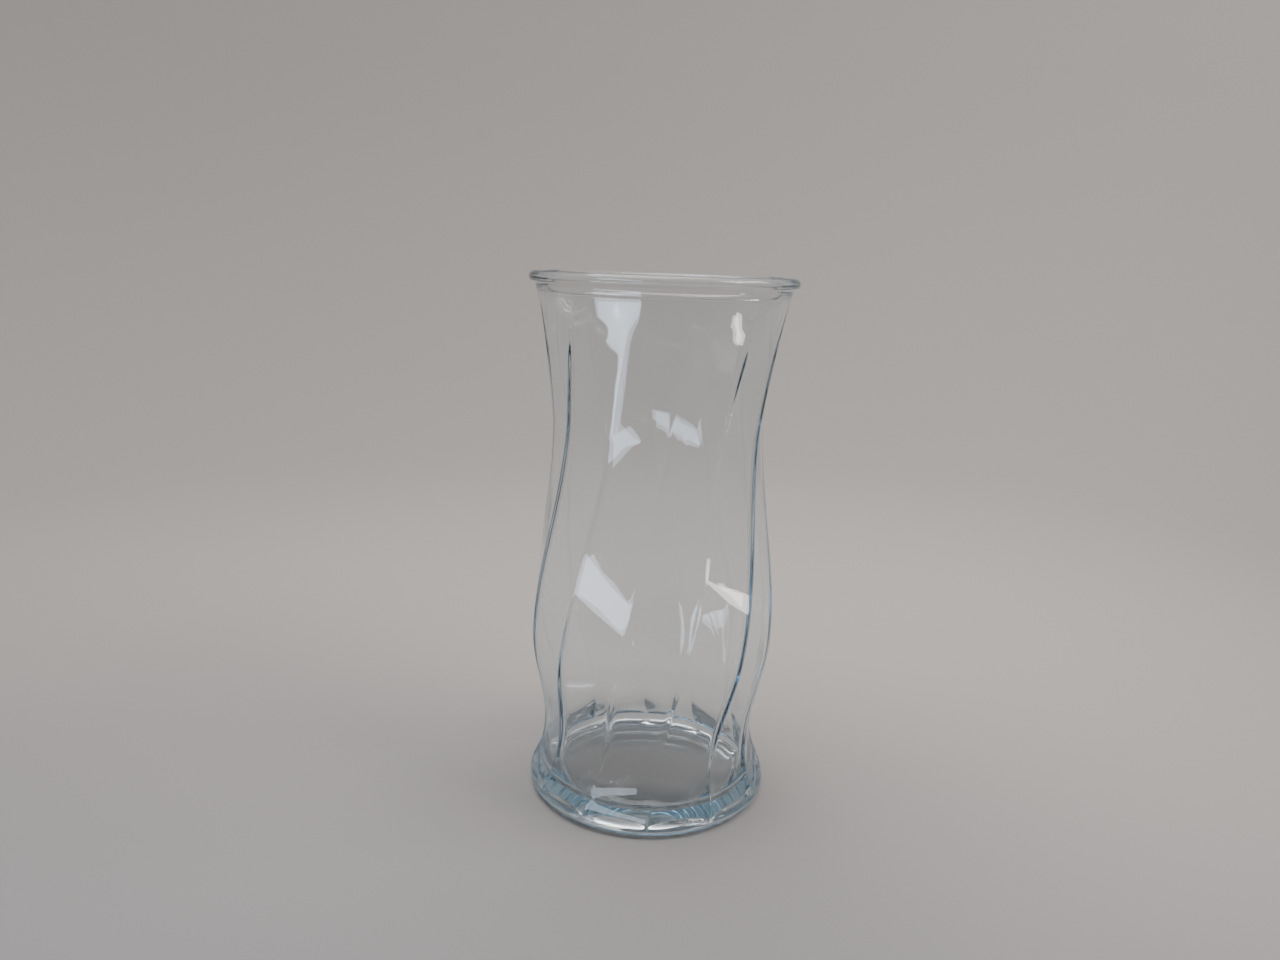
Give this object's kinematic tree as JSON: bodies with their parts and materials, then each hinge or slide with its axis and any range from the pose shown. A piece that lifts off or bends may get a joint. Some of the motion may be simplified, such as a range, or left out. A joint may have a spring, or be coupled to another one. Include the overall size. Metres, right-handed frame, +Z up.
{
  "type": "swirled glass florist vase",
  "caption": "Tall clear glass vase with a rolled rim, flat panels that swirl over a waisted body, and a thick round heel on a narrow resting ring.",
  "frame": {"origin": "on the vase's axis, at the level of the resting ring that it stands on", "axes": "+Z up along the axis to the mouth; +X and +Y horizontal, with the pictured side facing -Y"},
  "size_m": [0.1182, 0.1182, 0.241],
  "materials": {
    "rim_glass": "fire-polished clear soda-lime glass",
    "body_glass": "clear moulded soda-lime glass, faintly wavy",
    "base_glass": "thick clear soda-lime glass that shows its blue-green tint"
  },
  "bodies": {
    "root": {"rim_bead": "rim_glass", "collar": "rim_glass", "panel_wall": "body_glass", "heel": "base_glass", "resting_ring": "base_glass", "base_floor": "base_glass"}
  },
  "joints": []
}
